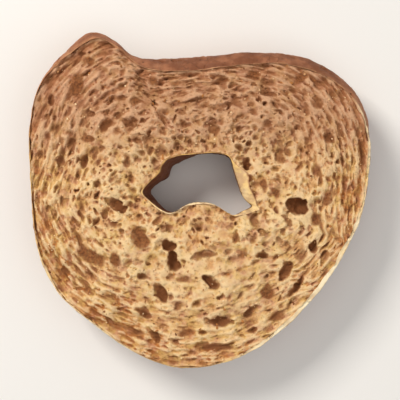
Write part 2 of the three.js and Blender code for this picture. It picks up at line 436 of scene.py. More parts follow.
class CrumbRelief:
    """How deep the crumb's medium and larger pores are, on a fine grid over the cut face.

    WARPS are the length of some bumps, how far they bend the pores' outlines, and their seed. STRAY
    is how far a pore can be bent out of its place. SKIN_WIDTH is the width from which a pore's floor
    is all bubble skin. SLANTS are the least and the most that a tilt makes of a depth. MOUTH is how
    much wider the placed pores are than the solid's. From DEEP on they keep their depth, and the
    others keep KEPT of it. The softest lose SOFT_LOSS. MARGIN is the crumb left round them and TILT
    how far their floors slant.
    """

    WARPS = ((4.4, 0.85, 1), (1.9, 0.5, 3), (0.8, 0.2, 5))
    STRAY = 1.2
    SKIN_WIDTH = 4.4
    SLANTS = (0.12, 1.7)
    MOUTH = 1.08
    DEEP = 3.0
    KEPT = 0.85
    SOFT_LOSS = 0.35
    MARGIN = 0.35
    TILT = 0.5

    def __init__(self, half_width: float = 58.0, step: float = 0.125) -> None:
        """Lays out the grid, which reaches half_width from the origin in steps, in millimetres."""
        self.half_width, self.step = half_width, step
        axis = np.arange(-half_width, half_width + step, step)
        x, y = np.meshgrid(axis, axis)
        self.warped_x, self.warped_y = x.copy(), y.copy()
        for length, amount, seed in self.WARPS:
            self.warped_x += amount * Bumps(length, seed).at(x, y)
            self.warped_y += amount * Bumps(length, seed + 1).at(x, y)
        self.depth, self.skin = np.zeros_like(x), np.zeros_like(x)
        self.taken = np.zeros(x.shape, bool)

    def carve(self, pore: Pore, softness: float, margin: float, tilt: Pair) -> None:
        """Takes a pore out of the crumb.

        Args:
            pore: the pore's opening and depth.
            softness: from 0 for steep walls to 1 for a gentle hollow.
            margin: the width of crumb round it that other pores leave, in millimetres.
            tilt: how much deeper it gets along its length and its width, as shares.
        """
        reach = pore.length / 2 + margin + self.STRAY
        window = tuple(slice(max(int((at - reach + self.half_width) / self.step), 0),
                             int((at + reach + self.half_width) / self.step) + 2)
                       for at in (pore.y, pore.x))
        across, up = self.warped_x[window] - pore.x, self.warped_y[window] - pore.y
        cos, sin = math.cos(pore.turn), math.sin(pore.turn)
        along = (across * cos + up * sin) / (pore.length / 2)
        beside = (up * cos - across * sin) / (pore.width / 2)
        share = np.hypot(along, beside)
        bowl = np.maximum(1.0 - share ** 2, 0.0) ** (STEEPEST + SOFTENING * softness)
        slant = np.clip(1.0 + tilt[0] * along + tilt[1] * beside, *self.SLANTS)
        self.depth[window] = np.maximum(self.depth[window], pore.depth * bowl * slant)
        # The broad pores' floors are bubble skin, which the crumb's finish darkens as painted shade.
        tinted = min(1.0, (pore.width / self.SKIN_WIDTH) ** 2) * (0.6 + 0.4 * softness)
        self.skin[window] = np.maximum(self.skin[window], tinted * smooth_step(1.06, 0.45, share))
        self.taken[window] |= share * pore.width / (pore.width + 2 * margin) < 1.0

    def is_free(self, pore: Pore) -> bool:
        """Returns whether no other pore lies at this one's middle and ends."""
        cos, sin = math.cos(pore.turn), math.sin(pore.turn)
        for along, beside in ((0, 0), (1, 0), (-1, 0), (0, 1), (0, -1)):
            x = pore.x + (along * cos * pore.length - beside * sin * pore.width) / 2
            y = pore.y + (along * sin * pore.length + beside * cos * pore.width) / 2
            row, column = (int((at + self.half_width) / self.step) for at in (y, x))
            if self.taken[row, column]:
                return False
        return True

    def open_main(self, form: RingForm, rules: PoreRules, seed: int) -> None:
        """Carves the listed pores and the solid's random ones, the softer ones less deeply.

        Args:
            form: the ring's form.
            rules: where the pores lie.
            seed: the seed of their unevenness.
        """
        random = np.random.default_rng(seed)
        placed = len(rules.large)
        for index, pore in enumerate(rules.main_pores(form) + Pore.table(rules.pits)):
            if placed <= index < placed + rules.small_count:
                softness = random.uniform(0.3, 1.0)
                shallow = random.uniform(0.45, 1.0)
            else:
                steepness = smooth_step(0.42, 0.78, np.array(pore.depth / pore.width))
                softness = float(np.clip(1.0 - steepness + random.normal(0.0, 0.1), 0.0, 1.0))
                shallow = 1.0 if pore.depth >= self.DEEP else self.KEPT
            shaped = replace(pore, length=pore.length * self.MOUTH, width=pore.width * self.MOUTH,
                             depth=pore.depth * shallow * (1.0 - self.SOFT_LOSS * softness))
            self.carve(shaped, softness, self.MARGIN,
                       tilt=tuple(random.uniform(-self.TILT, self.TILT, 2)))

    def strew(self, form: RingForm, kind: PoreClass) -> None:
        """Carves pores of one class wherever random places on the form's crumb are free."""
        random = np.random.default_rng(kind.seed)
        for _ in range(kind.tries):
            angle = random.uniform(-math.pi, math.pi)
            start, end = (float(edge) for edge in form.crumb_span(np.array(angle)))
            length = random.uniform(*kind.lengths)
            nearest, farthest = start + length / 3, end - length / 3
            reach = math.sqrt(random.uniform(nearest ** 2, farthest ** 2))
            x, y = form.place(angle, reach)
            flat = float(smooth_step(0.3, 1.0, np.array((reach - start) / (end - start))))
            length *= 1.0 + kind.stretched * flat * random.uniform(0.0, 1.0)
            width = min(kind.lengths[1], length) * random.uniform(*kind.slimness)
            width *= 1.0 - kind.slimmed * flat
            turn = angle + math.pi / 2 + random.normal(0.0, kind.strays[0] - kind.strays[1] * flat)
            depth = width * random.uniform(*kind.depths)
            pore = Pore(float(x), float(y), length, width, turn, depth)
            if self.is_free(pore):
                self.carve(pore, random.uniform(*kind.softness), kind.margin,
                           tilt=tuple(random.uniform(-kind.tilt, kind.tilt, 2)))

    def at(self, x: Array, y: Array) -> tuple[Array, Array]:
        """Returns the depth and the share of bubble skin at places on the face."""
        column, row = (x + self.half_width) / self.step, (y + self.half_width) / self.step
        return read_grid(self.depth, column, row), read_grid(self.skin, column, row)


@dataclass(frozen=True)
class Band:
    """A stretch of the crust's cut edge: where it is, its extra width, and how pale it is."""

    towards: float
    spread: float
    width: float
    paleness: float = 1.0

    def share(self, angle: Array) -> Array:
        """Returns 1 in the band's direction, easing to 0 away from it."""
        return sector(angle, self.towards, self.spread)


@dataclass
class Lip:
    """The crust's cut edge along one outline, thin but for its bands."""

    form: RingForm
    outline: Outline
    bands: tuple[Band, ...]
    rough: Bumps
    thin: float = 0.5
    raggedness: float = 0.42

    def paleness(self, angle: Array) -> Array:
        """Returns how pale the edge is in each direction."""
        return np.max([band.paleness * band.share(angle) for band in self.bands], axis=0)

    def width(self, angle: Array) -> Array:
        """Returns how wide the edge is in each direction, in millimetres."""
        x, y = self.form.place(angle, self.outline.reach(angle))
        wide = sum(band.width * band.share(angle) for band in self.bands)
        return (self.thin + wide) * (1.0 + self.raggedness * self.rough.at(x, y))


@dataclass
class Lips:
    """The crust's cut edges round the rim and the hole."""

    form: RingForm
    rim_bands: tuple[Band, ...] = (
        Band(-0.68, 0.68, 1.2), Band(0.24, 0.22, 0.8, 0.75), Band(-2.3, 0.55, 0.4, 0.6))
    # Beside the hole, a sloped band whose paleness is partly its own colour and partly a painted
    # highlight; along the hole's lower edge, a thin line of painted highlight.
    hole_face: Band = Band(-0.06, 0.5, 3.4, 0.36)
    hole_highlight_line: Band = Band(-1.75, 1.15, 0.3, 0.7)
    inset_kept: float = 0.45

    def __post_init__(self) -> None:
        """Lays the edges along the outlines."""
        self.rim = Lip(self.form, self.form.rim, self.rim_bands, Bumps(3.4, 61, octaves=3))
        self.hole = Lip(self.form, self.form.hole, (self.hole_face, self.hole_highlight_line),
                        Bumps(2.6, 62, octaves=3))

    def inset(self, angle: Array) -> Array:
        """Returns how far inside the widest outline the rim's edge stands."""
        kept = 1.0 - (1.0 - self.inset_kept) * self.rim.paleness(angle)
        return self.form.set_in(angle) - self.form.edge_inset * (1.0 - kept)


# --- Node trees ---

def titled(values: dict[str, object]) -> dict[str, object]:
    """Returns values by their inputs' names, as in Patch Size for patch_size."""
    return {name.replace("_", " ").title(): value for name, value in values.items()}


class Net:
    """The nodes of a tree, where the output of one is given as the input of the next."""

    def __init__(self, tree: Tree) -> None:
        """Starts on a tree."""
        self.tree = tree
        self.given: dict[str, Socket] = {}

    @classmethod
    def group(cls, name: str, kind: str, inputs: dict[str, object], outputs: dict[str, str]) -> "Net":
        """Starts a group of nodes.

        Args:
            name: the group's name.
            kind: Blender's name for its kind of tree.
            inputs: each input's default value, or the kind of a socket without one.
            outputs: each output's kind of socket.

        Returns:
            The group, with its own inputs at hand as given.
        """
        net = cls(bpy.data.node_groups.new(name, kind))
        for title, value in inputs.items():
            bare = isinstance(value, str)
            socket_type = "NodeSocket" + (value if bare else SOCKETS[type(value)])
            socket = net.tree.interface.new_socket(title, in_out="INPUT", socket_type=socket_type)
            if not bare:
                socket.default_value = value
        for title, value in outputs.items():
            net.tree.interface.new_socket(title, in_out="OUTPUT", socket_type="NodeSocket" + value)
        net.given = net.add("NodeGroupInput").outputs
        return net

    def add(self, kind: str, inputs: dict | None = None, **settings: object) -> bpy.types.Node:
        """Adds one node.

        Args:
            kind: Blender's name for the node's type.
            inputs: values or outputs for its inputs, by name or by number.
            settings: values of the node's own properties.

        Returns:
            The node.
        """
        node = self.tree.nodes.new(kind)
        for name, value in settings.items():
            setattr(node, name, value)
        for name, value in (inputs or {}).items():
            if isinstance(value, Socket):
                self.tree.links.new(value, node.inputs[name])
            else:
                node.inputs[name].default_value = value
        return node

    def out(self, kind: str, inputs: dict | None = None, **settings: object) -> Socket:
        """Returns the first output of a new node."""
        return self.add(kind, inputs, **settings).outputs[0]

    def math(self, operation: str, *values: object, clamp: bool = False) -> Socket:
        """Returns the result of a sum on one to three values."""
        return self.out("ShaderNodeMath", dict(enumerate(values)), operation=operation,
                        use_clamp=clamp)

    def times(self, first: object, *others: object) -> Socket:
        """Returns a product, worked out from left to right."""
        for other in others:
            first = self.math("MULTIPLY", first, other)
        return first

    def per(self, size: object, count: float = 1.0) -> Socket:
        """Returns how many of a size go into a length."""
        return self.math("DIVIDE", count, size)

    def vector(self, operation: str, *values: object) -> Socket:
        """Returns the vector that a sum on vectors gives."""
        return self.out("ShaderNodeVectorMath", dict(enumerate(values)), operation=operation)

    def scaled(self, vector: object, factor: object) -> Socket:
        """Returns a vector times a number."""
        return self.out("ShaderNodeVectorMath", {0: vector, "Scale": factor}, operation="SCALE")

    def combined(self, x: object, y: object, z: object) -> Socket:
        """Returns the vector that three numbers make."""
        return self.out("ShaderNodeCombineXYZ", {0: x, 1: y, 2: z})

    def ease(self, value: object, low: float, high: float, start: float = 0.0, end: float = 1.0,
             kind: str = "SMOOTHSTEP") -> Socket:
        """Returns start to end as value goes from low to high."""
        return self.out("ShaderNodeMapRange", {0: value, 1: low, 2: high, 3: start, 4: end},
                        interpolation_type=kind)

    def mix(self, share: object, first: object, second: object) -> Socket:
        """Returns a blend of two colours."""
        return self.add("ShaderNodeMix", {0: share, 6: first, 7: second}, data_type="RGBA").outputs[2]

    def noise(self, vector: object, scale: object, detail: float = 3.0, roughness: float = 0.55,
              output: int = 0) -> Socket:
        """Returns an output of a noise texture, 0 for its height and 1 for its colour."""
        return self.add("ShaderNodeTexNoise", {"Vector": vector, "Scale": scale, "Detail": detail,
                                               "Roughness": roughness}).outputs[output]

    def swirl(self, vector: object, scale: object, detail: float = 3.0) -> Socket:
        """Returns a random vector, up to a half either way."""
        return self.vector("SUBTRACT", self.noise(vector, scale, detail, output=1), (0.5, 0.5, 0.5))

    def cells(self, vector: object, scale: object) -> tuple[Socket, Socket, Socket]:
        """Returns how far the nearest cell's middle is, and two random numbers of that cell."""
        cells = self.add("ShaderNodeTexVoronoi", {"Vector": vector, "Scale": scale}).outputs
        family = "Function" if self.tree.type == "GEOMETRY" else "Shader"
        dice = self.add(family + "NodeSeparateColor", {0: cells["Color"]}).outputs
        return cells["Distance"], dice[0], dice[1]

    def named(self, attribute: str, kind: str = "FLOAT") -> Socket:
        """Returns a stored attribute in a geometry tree."""
        node = self.add("GeometryNodeInputNamedAttribute", {"Name": attribute}, data_type=kind)
        return next(out for out in node.outputs if out.enabled and out.name == "Attribute")

    def mark(self, attribute: str) -> Socket:
        """Returns a stored attribute in a material."""
        return self.add("ShaderNodeAttribute", attribute_name=attribute).outputs["Fac"]

    def place(self) -> Socket:
        """Returns the object's own coordinates in a material."""
        return self.add("ShaderNodeTexCoord").outputs["Object"]

    def far(self, low: float, high: float) -> Socket:
        """Returns 0 to 1 as y goes from low to high."""
        return self.ease(self.add("ShaderNodeSeparateXYZ", {0: self.place()}).outputs[1], low, high)


def new_geometry_tree(name: str, inputs: dict[str, object]) -> Net:
    """Starts a geometry tree with a geometry, its named inputs and a material."""
    inputs = {"Geometry": "Geometry", **inputs, "Material": "Material"}
    return Net.group(name, "GeometryNodeTree", inputs, {"Geometry": "Geometry"})


def close_geometry_tree(net: Net, geometry: Socket) -> Tree:
    """Ends a tree in Realize Instances and Set Material, and returns it."""
    realized = net.out("GeometryNodeRealizeInstances", {"Geometry": geometry})
    net.add("NodeGroupOutput", {0: net.out("GeometryNodeSetMaterial", {
        "Geometry": realized, "Material": net.given["Material"]})})
    return net.tree


def pressed_in(net: Net, step: Socket) -> Socket:
    """Returns the tree's geometry with its points moved a step into the piece."""
    inward = net.scaled(net.named("into", "FLOAT_VECTOR"), step)
    return net.out("GeometryNodeSetPosition", {"Geometry": net.given["Geometry"], "Offset": inward})


def foam_tree() -> Tree:
    """Builds the tree that opens bubbles in a skin or a torn crumb.

    It reads three attributes: rope, the coordinates that bubbles are spread in, into, the way into
    the piece, and exposed, which is 1 where it shows. It writes hollow.
    """
    seed_shift, cell_radii, hollow_per_metre = (17.3, 9.1, 5.7), (0.3, 0.66), 900.0
    net = new_geometry_tree("Foam", {"Cell Size": 0.001, "Open Share": 0.7, "Depth": 1.0,
                                     "Softness": 0.5, "Warp": 0.3, "Seed": 0.0})
    size = net.given["Cell Size"]
    cells = net.vector("DIVIDE", net.named("rope", "FLOAT_VECTOR"), net.combined(size, size, size))
    moved = net.vector("ADD", cells, net.scaled(seed_shift, net.given["Seed"]))
    bent = net.vector("ADD", moved, net.scaled(net.swirl(moved, 0.9, 2.0), net.given["Warp"]))
    distance, first, second = net.cells(bent, 1.0)
    radius = net.ease(first, 0.0, 1.0, *cell_radii, "LINEAR")
    is_open = net.math("LESS_THAN", second, net.given["Open Share"])
    out = net.math("DIVIDE", distance, radius)
    inside = net.math("MAXIMUM", net.math("SUBTRACT", 1.0, net.times(out, out)), 0.0)
    power = net.math("MULTIPLY_ADD", net.given["Softness"], SOFTENING, STEEPEST)
    shown = net.times(is_open, net.named("exposed"))
    step = net.times(net.math("POWER", inside, power), shown, radius, net.given["Depth"], size)
    deep = net.math("MULTIPLY", step, hollow_per_metre, clamp=True)
    hollow = net.math("MAXIMUM", net.named("hollow"), deep)
    return close_geometry_tree(net, net.out("GeometryNodeStoreNamedAttribute", {
        "Geometry": pressed_in(net, step), "Name": "hollow", "Value": hollow},
        data_type="FLOAT", domain="POINT"))


def skin_tree() -> Tree:
    """Builds the tree that makes a surface lumpy, and wrinkled or stringy along the rope.

    It reads rope, into, exposed and wrinkled, how strong the wrinkles are.
    """
    net = new_geometry_tree("Uneven Skin", {
        "Lump Size": 0.01, "Lump Height": 0.0004, "Wrinkle Size": 0.002, "Wrinkle Height": 0.0001,
        "Wrinkle Stretch": 1.0, "Seed": 0.0})
    given, seed_shift = net.given, (0.31, 0.17, 0.23)
    shift = net.scaled(seed_shift, given["Seed"])
    place = net.vector("ADD", net.named("rope", "FLOAT_VECTOR"), shift)
    lumps = net.noise(place, net.per(given["Lump Size"]), 2.0)
    folded = net.vector("MULTIPLY", place, net.combined(1.0, 1.0, given["Wrinkle Stretch"]))
    wrinkles = net.noise(folded, net.per(given["Wrinkle Size"]))
    fold = net.times(net.ease(wrinkles, 0.3, 0.7), given["Wrinkle Height"])
    total = net.math("ADD", net.times(net.ease(lumps, 0.25, 0.75), given["Lump Height"]),
                     net.times(fold, net.named("wrinkled")))
    return close_geometry_tree(net, pressed_in(net, net.times(total, net.named("exposed"))))


def strewing_tree() -> Tree:
    """Builds the tree that strews small chips over the exposed part of a piece."""
    net = new_geometry_tree("Strewing", {
        "Density": 20000.0, "Smallest": 0.0002, "Largest": 0.0006, "Slenderness": 0.7,
        "Flatness": 0.4, "Seed": 1})
    given = net.given
    spread = net.add("GeometryNodeDistributePointsOnFaces", {
        "Mesh": given["Geometry"], "Density": given["Density"], "Seed": given["Seed"],
        "Selection": net.math("GREATER_THAN", net.named("strewn"), 0.5)}).outputs
    chip = net.out("GeometryNodeMeshIcoSphere", {"Radius": 1.0, "Subdivisions": 1})
    ragged = net.out("GeometryNodeSetPosition", {"Geometry": chip, "Offset": net.scaled(
        net.swirl(net.out("GeometryNodeInputPosition"), 1.7), 0.9)})

    def random_number(low: float, high: float, shift: int) -> Socket:
        """Returns a random number for each chip."""
        node = net.add("FunctionNodeRandomValue", {
            "Seed": net.math("ADD", given["Seed"], float(shift))}, data_type="FLOAT")
        lowest, highest = (end for end in node.inputs if end.type == "VALUE" and end.enabled)
        lowest.default_value, highest.default_value = low, high
        return next(out for out in node.outputs if out.enabled)

    spin = net.combined(random_number(-0.5, 0.5, 1), random_number(-0.5, 0.5, 2),
                        random_number(0.0, TURN, 3))
    turned = net.out("FunctionNodeRotateRotation", {
        "Rotation": spread["Rotation"],
        "Rotate By": net.out("FunctionNodeEulerToRotation", {0: spin})}, rotation_space="LOCAL")
    size = net.math("MULTIPLY_ADD", net.math("POWER", random_number(0.0, 1.0, 4), 2.0),
                    net.math("SUBTRACT", given["Largest"], given["Smallest"]), given["Smallest"])
    slim = net.times(given["Slenderness"], random_number(0.7, 1.3, 5))
    shape = net.scaled(net.combined(1.0, slim, given["Flatness"]), net.times(size, 0.5))
    placed = net.out("GeometryNodeInstanceOnPoints", {
        "Points": spread["Points"], "Instance": ragged, "Rotation": turned, "Scale": shape})
    return close_geometry_tree(net, net.out("GeometryNodeStoreNamedAttribute", {
        "Geometry": placed, "Name": "tone", "Value": random_number(0.0, 1.0, 6)},
        data_type="FLOAT", domain="INSTANCE"))


# --- Finishes ---

def paint(*channels: float) -> Colour:
    """Turns a colour as seen on a screen, 0 to 255, into the linear one that nodes take."""
    shares = [value / 255.0 for value in channels]
    return (*(share / 12.92 if share <= 0.04045 else ((share + 0.055) / 1.055) ** 2.4
              for share in shares), 1.0)


def toasting_group() -> Tree:
    """Builds the effect of uneven toasting: three tones in patches, with bran specks in them."""
    white, black = (1.0, 1.0, 1.0, 1.0), (0.0, 0.0, 0.0, 1.0)
    net = Net.group("Toasting", "ShaderNodeTree", {
        "Pale": white, "Golden": white, "Brown": white, "Speck": black, "Toast": 0.5,
        "Patch Size": 0.012, "Unevenness": 1.0, "Speck Size": 0.0008, "Speck Share": 0.1},
        {"Color": "Color"})
    given, place = net.given, net.place()
    patches = net.noise(place, net.per(given["Patch Size"]), 4.0)
    mottle = net.noise(place, net.per(given["Patch Size"], 5.0), 2.0)
    uneven = net.math("ADD", net.ease(patches, 0.3, 0.7, -0.26, 0.26),
                      net.ease(mottle, 0.3, 0.7, -0.2, 0.2))
    toast = net.math("ADD", given["Toast"], net.times(uneven, given["Unevenness"]), clamp=True)
    light = net.mix(net.ease(toast, 0.0, 0.5), given["Pale"], given["Golden"])
    tone = net.mix(net.ease(toast, 0.5, 1.0), light, given["Brown"])
    distance, first, second = net.cells(place, net.per(given["Speck Size"]))
    picked = net.math("LESS_THAN", first, given["Speck Share"])
    faint = net.times(net.ease(distance, 0.42, 0.2), picked, net.ease(second, 0.0, 1.0, 0.3, 0.85))
    net.add("NodeGroupOutput", {0: net.mix(faint, tone, given["Speck"])})
    return net.tree


def grain_group() -> Tree:
    """Builds the fine grain of dry dough: tiny bubbles, tears and a floury roughness, as heights."""
    net = Net.group("Dough Grain", "ShaderNodeTree", {
        "Bubble Size": 0.0006, "Bubble Depth": 1.0, "Tear Size": 0.001, "Tear Depth": 0.8,
        "Flour Size": 0.0002, "Flour Depth": 0.3}, {"Height": "Float", "Bubbles": "Float"})
    given, place = net.given, net.place()
    finer = net.per(given["Bubble Size"])
    bent = net.vector("ADD", place, net.scaled(net.swirl(place, finer, 2.0),
                                               net.times(given["Bubble Size"], 1.6)))
    distance, first, _ = net.cells(bent, finer)
    edge = net.ease(first, 0.3, 1.0, 0.0, 0.6, "LINEAR")
    bowl = net.ease(net.math("SUBTRACT", edge, distance), 0.0, 0.45)
    flour = net.noise(place, net.per(given["Flour Size"]), 2.0)
    tears = net.noise(bent, net.per(given["Tear Size"]), 4.0, 0.65)
    raised = net.math("MULTIPLY_ADD", tears, given["Tear Depth"],
                      net.times(flour, given["Flour Depth"]))
    height = net.math("SUBTRACT", raised, net.times(bowl, given["Bubble Depth"]))
    net.add("NodeGroupOutput", {0: height, 1: bowl})
    return net.tree


def new_material(name: str) -> tuple[Material, Net]:
    """Starts a material without nodes."""
    material = bpy.data.materials.new(name)
    material.use_nodes = True
    material.node_tree.nodes.clear()
    return material, Net(material.node_tree)


def close_material(net: Net, colour: object, roughness: object,
                   bump: tuple[object, float, float] | None = None) -> None:
    """Ends a material in its shader.

    Args:
        net: the material's nodes.
        colour: its colour.
        roughness: its roughness.
        bump: the height, strength and distance of its grain.
    """
    inputs = {"Base Color": colour, "Roughness": roughness, "Specular IOR Level": 0.25}
    if bump:
        titles = ("Height", "Strength", "Distance")
        inputs["Normal"] = net.out("ShaderNodeBump", dict(zip(titles, bump)))
    net.add("ShaderNodeOutputMaterial", {"Surface": net.out("ShaderNodeBsdfPrincipled", inputs)})


@dataclass(frozen=True)
class DoughGroups:
    """The two effects that the dough's materials share."""

    toasting: Tree
    grain: Tree

    def toasted(self, net: Net, tones: object, **sizes: float) -> Socket:
        """Returns the toasted colour of a material with its own tones, in patches of some sizes."""
        inputs = {"Toast": net.mark("toast"), "Pale": tones.pale, "Golden": tones.golden,
                  "Brown": tones.brown, "Speck": tones.speck}
        return net.out("ShaderNodeGroup", inputs | titled(sizes), node_tree=self.toasting)

    def grained(self, net: Net, **sizes: float) -> bpy.types.NodeOutputs:
        """Returns the outputs of the grain at some sizes and depths."""
        return net.add("ShaderNodeGroup", titled(sizes), node_tree=self.grain).outputs


@dataclass(frozen=True)
class CrumbFinish:
    """The torn crumb: golden face, pale threads on the crests partly painted as highlight, and
    painted shade in the hollows, toasted towards the crust.
    """

    pale: Colour = paint(234, 193, 138)
    golden: Colour = paint(222, 167, 109)
    brown: Colour = paint(192, 120, 60)
    blush: Colour = paint(206, 148, 116)
    speck: Colour = paint(118, 62, 32)
    rosy: Colour = paint(180, 126, 94)
    # The far half's pale threads on the crests, partly a painted highlight.
    rosy_thread_highlight: Colour = paint(226, 178, 138)
    straw: Colour = paint(226, 184, 108)
    # Painted shade: in the hollows and between the crests, on the broad pores' gritty floors, and
    # darkest in the deepest corners.
    hollow_shade: Colour = paint(138, 84, 46)
    pore_floor_shade_dark: Colour = paint(116, 68, 38)
    pore_floor_shade_pale: Colour = paint(158, 98, 54)
    deep: Colour = paint(128, 78, 42)
    # Pale threads on the crests, partly their own colour and partly a painted highlight.
    thread_highlight: Colour = paint(253, 220, 168)
    rosy_from: Pair = (0.004, 0.029)
    rosy_share: float = 0.7
    # How strongly the crests are painted lighter as highlight, and the sunk places, the hollows, the
    # broad pores' floors, in clouds, and the grain's bubbles darker as painted shade.
    lit: float = 0.75
    sunk_shade: float = 0.68
    hollow_shading: float = 0.35
    clouds: Pair = (0.72, 1.0)
    bubble_shade: float = 0.4

    def build(self, groups: DoughGroups) -> Material:
        """Returns the crumb's material."""
        material, net = new_material("toasted_crumb")
        place = net.place()
        hollow, bubble, crest = net.mark("hollow"), net.mark("bubble"), net.mark("crest")
        toasted = groups.toasted(net, self, patch_size=0.01, speck_size=0.0011, speck_share=0.1)
        grain = groups.grained(net, bubble_size=0.0007, bubble_depth=0.9, tear_size=0.0009,
                               tear_depth=2.2, flour_size=0.00018, flour_depth=0.6)
        # Rosy and yellow patches, and the rosier far half.
        pinkish = net.ease(net.noise(place, 330.0, 4.0), 0.46, 0.62, 0.0, 0.6)
        yellowish = net.ease(net.noise(place, 290.0, 4.0), 0.52, 0.38, 0.0, 0.65)
        tinted = net.mix(yellowish, net.mix(pinkish, toasted, self.blush), self.straw)
        rosy = net.far(*self.rosy_from)
        face = net.mix(net.times(rosy, self.rosy_share), tinted, self.rosy)
        thread_highlight = net.mix(rosy, self.thread_highlight, self.rosy_thread_highlight)
        # Pale threads on the crests, partly a painted highlight, and painted shade in the dough
        # between them.
        uneven = net.ease(net.noise(place, 1100.0, 2.0), 0.25, 0.75, -0.22, 0.22)
        relief = net.math("ADD", crest, uneven)
        lit = net.mix(net.ease(relief, 0.0, 1.0, 0.0, self.lit, "LINEAR"), face, thread_highlight)
        sunk_shade = net.mix(net.ease(relief, 0.05, -0.95, 0.0, self.sunk_shade, "LINEAR"), lit, self.hollow_shade)
        hollow_shaded = net.mix(net.ease(hollow, 0.2, 0.9, 0.0, self.hollow_shading), sunk_shade, self.hollow_shade)
        # Painted shade: gritty darker floors in the broad pores, darker still in the deepest corners
        # and in the grain's own bubbles.
        cloud = net.ease(net.noise(place, 800.0), 0.35, 0.65, *self.clouds)
        grit = net.ease(net.noise(place, 1500.0, 4.0), 0.36, 0.64)
        broad = net.mix(net.times(net.ease(bubble, 0.1, 0.8), cloud), hollow_shaded,
                        net.mix(grit, self.pore_floor_shade_dark, self.pore_floor_shade_pale))
        deepest_shade = net.times(net.ease(hollow, 0.5, 1.0), net.ease(crest, -0.15, -1.0))
        colour = net.mix(net.times(grain["Bubbles"], self.bubble_shade),
                         net.mix(deepest_shade, broad, self.deep), self.hollow_shade)
        close_material(net, colour, net.ease(hollow, 0.0, 1.0, 0.95, 0.75),
                       (grain["Height"], 0.9, 0.00026))
        return material


@dataclass(frozen=True)
class CrustFinish:
    """The baked crust: browned patches, fine cracks, a dusting of flour and a pale cut edge."""

    pale: Colour = paint(204, 150, 103)
    golden: Colour = paint(174, 114, 79)
    brown: Colour = paint(126, 74, 46)
    speck: Colour = paint(84, 46, 26)
    crack: Colour = paint(104, 58, 30)
    flour: Colour = paint(238, 214, 178)
    cut: Colour = paint(236, 192, 116)
    far_cut: Colour = paint(204, 150, 106)
    far_from: Pair = (0.01, 0.034)
    # The pale cut edge, also the painted highlight along the hole's edges.
    pale_cut_and_highlight: Colour = paint(255, 236, 196)
    cracking: float = 0.4
    dusting: float = 0.26
    pit_shading: float = 0.6

    def build(self, groups: DoughGroups) -> Material:
        """Returns the crust's material."""
        material, net = new_material("baked_crust")
        place = net.place()
        toasted = groups.toasted(net, self, patch_size=0.018, unevenness=0.7, speck_size=0.0013,
                                 speck_share=0.09)
        grain = groups.grained(net, bubble_size=0.0009, bubble_depth=0.35, flour_size=0.00022,
                               flour_depth=0.6)
        # Fine cracks here and there, and a dusting of flour.
        bent = net.vector("ADD", place, net.scaled(net.noise(place, 260.0, 2.0, output=1), 0.0022))
        crazing = net.out("ShaderNodeTexVoronoi", {"Vector": bent, "Scale": 230.0},
                          feature="DISTANCE_TO_EDGE")
        crack = net.times(net.ease(crazing, 0.045, 0.005),
                          net.ease(net.noise(place, 70.0, 1.0), 0.5, 0.62))
        floured = net.times(net.ease(net.noise(place, 60.0), 0.52, 0.7),
                            net.ease(net.noise(place, 2600.0), 0.45, 0.62))
        cracked = net.mix(net.times(crack, self.cracking), toasted, self.crack)
        dusted = net.mix(net.times(floured, self.dusting), cracked, self.flour)
        # Painted shade in the crust's small pits, in the colour of the cracks.
        pit_shaded = net.mix(net.times(net.mark("hollow"), self.pit_shading), dusted, self.crack)
        # The cut edge, pale where its bands are; along the hole's lower edge the paleness is a
        # painted highlight, and on the band beside the hole partly one.
        torn = net.ease(net.noise(place, 420.0), 0.35, 0.6, 0.35, 1.0)
        uneven_cut = net.mix(torn, toasted, net.mix(net.far(*self.far_from), self.cut, self.far_cut))
        edge = net.mix(net.mark("paleness"), uneven_cut, self.pale_cut_and_highlight)
        height = net.math("SUBTRACT", grain["Height"], net.times(crack, 0.9))
        dull = net.math("ADD", net.ease(net.mark("toast"), 0.0, 1.0, 0.82, 0.6),
                        net.times(floured, 0.2))
        close_material(net, net.mix(net.mark("cut"), pit_shaded, edge), dull, (height, 0.8, 0.00022))
        return material


@dataclass(frozen=True)
class ChipFinish:
    """A strewn chip: one of two tones or between them, with painted shade in its grain's bubbles."""

    name: str
    light: Colour
    dark: Colour

    def build(self, groups: DoughGroups) -> Material:
        """Returns the chips' material."""
        material, net = new_material(self.name)
        grain = groups.grained(net, bubble_size=0.0003)
        tone = net.mix(net.mark("tone"), self.light, self.dark)
        # Painted shade in the grain's tiny bubbles.
        colour = net.mix(net.times(grain["Bubbles"], 0.4), tone, self.dark)
        close_material(net, colour, 0.8, (grain["Height"], 0.5, 0.0001))
        return material


# --- Meshes ---

def fill(items: bpy.types.bpy_prop_collection, name: str, values: Array,
         kind: type = np.float32) -> None:
    """Sets a property of all the points, corners or faces of a mesh."""
    items.foreach_set(name, values.astype(kind).ravel())


def stand(name: str, data: bpy.types.ID) -> Piece:
    """Adds an object to the scene."""
    piece = bpy.data.objects.new(name, data)
    bpy.context.scene.collection.objects.link(piece)
    return piece


